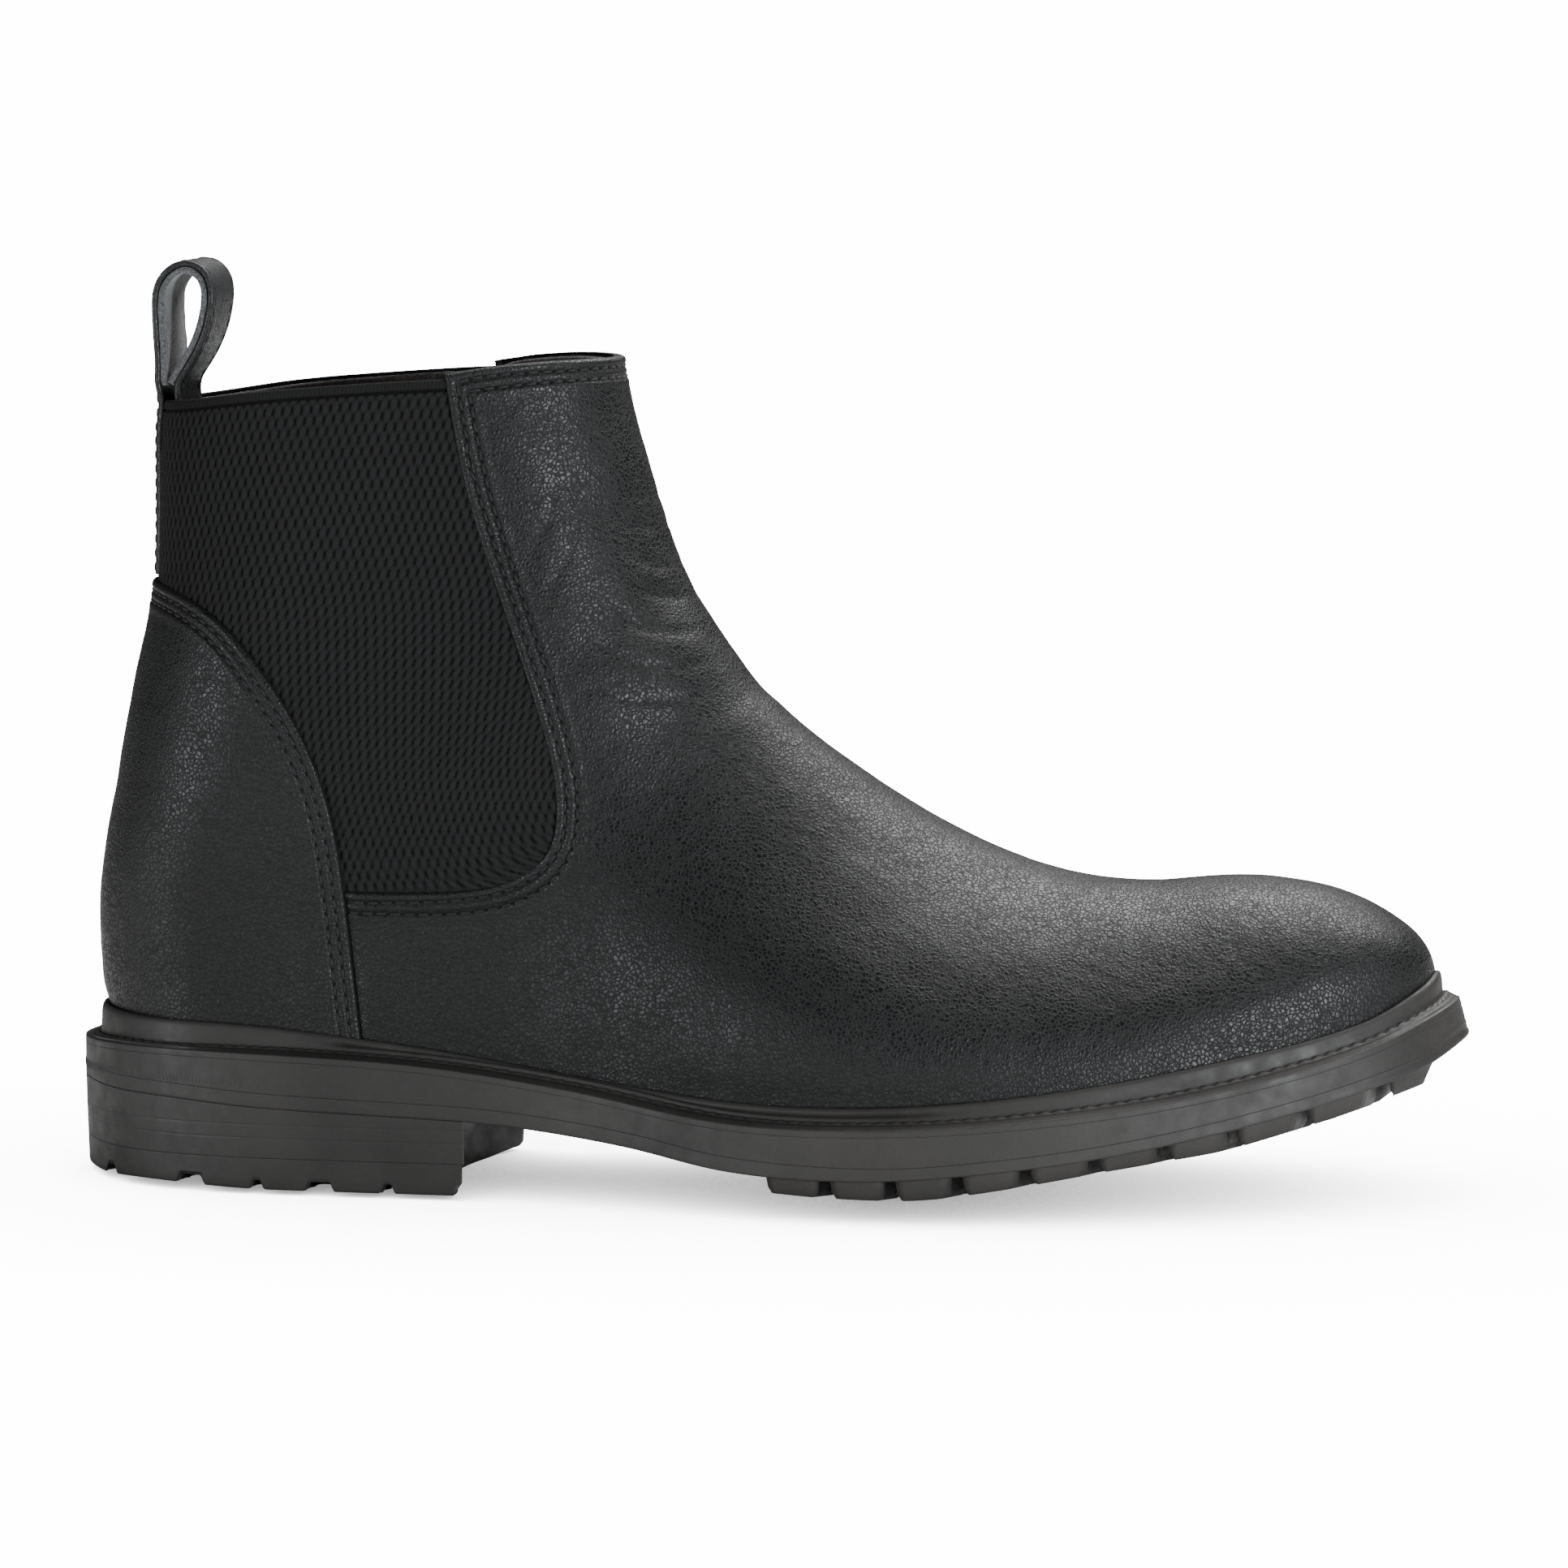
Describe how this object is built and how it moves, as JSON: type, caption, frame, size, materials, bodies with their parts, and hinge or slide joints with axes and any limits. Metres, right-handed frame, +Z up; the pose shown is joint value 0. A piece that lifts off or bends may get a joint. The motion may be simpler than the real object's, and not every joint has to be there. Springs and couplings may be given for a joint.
{
  "type": "chelsea boot",
  "caption": "Right ankle boot with a one-piece vamp, elastic side gores, a heel pull loop, a welted lugged sole and a stacked heel.",
  "frame": {"origin": "centre of the boot's bounding box, on the ground plane", "axes": "+X towards the toe, along the sole; +Z up; -Y is the lateral (outer) side of this right boot"},
  "size_m": [0.3032, 0.107, 0.1999],
  "materials": {
    "upper_leather": "semi-gloss pebble grain",
    "gore_elastic": "matte basket weave",
    "lining": "matte speckled",
    "stiffener": "matte",
    "strap_leather": "satin",
    "thread": "matte",
    "sole_rubber": "matte moulded",
    "cork": "matte granular",
    "shank_steel": "brushed",
    "board": "matte fibreboard",
    "footbed_foam": "matte foam",
    "footbed_cover": "matte",
    "nail_steel": "satin"
  },
  "bodies": {
    "boot": {"outsole": "sole_rubber", "midsole": "sole_rubber", "welt": "sole_rubber", "heel_block": "sole_rubber", "heel_top_lift": "sole_rubber", "heel_nails": "nail_steel", "cork_filler": "cork", "shank": "shank_steel", "insole_board": "board", "footbed_foam": "footbed_foam", "footbed_cover": "footbed_cover", "vamp": "upper_leather", "vamp_lining": "lining", "quarter_lining": "lining", "toe_puff": "stiffener", "heel_counter": "stiffener", "back_strap": "strap_leather", "strap_inner_tail": "strap_leather", "collar_stitching": "thread", "welt_stitching": "thread", "heel_quarter_lateral": "upper_leather", "heel_quarter_medial": "upper_leather", "gore_lateral": "gore_elastic", "gore_medial": "gore_elastic", "gore_stitching_lateral": "thread", "gore_stitching_medial": "thread", "quarter_stitching_lateral": "thread", "quarter_stitching_medial": "thread"},
    "pull_loop": {"pull_loop_outer": "strap_leather", "pull_loop_inner": "strap_leather", "pull_loop_stitching": "thread"}
  },
  "joints": [
    {"name": "pull_loop_flex", "type": "hinge", "parent": "boot", "child": "pull_loop", "pos_m": [-0.1293, 0, 0.1722], "axis": [0, 1, 0], "range_deg": [-55, 45], "stiffness_Nm_per_rad": 0.02}
  ]
}
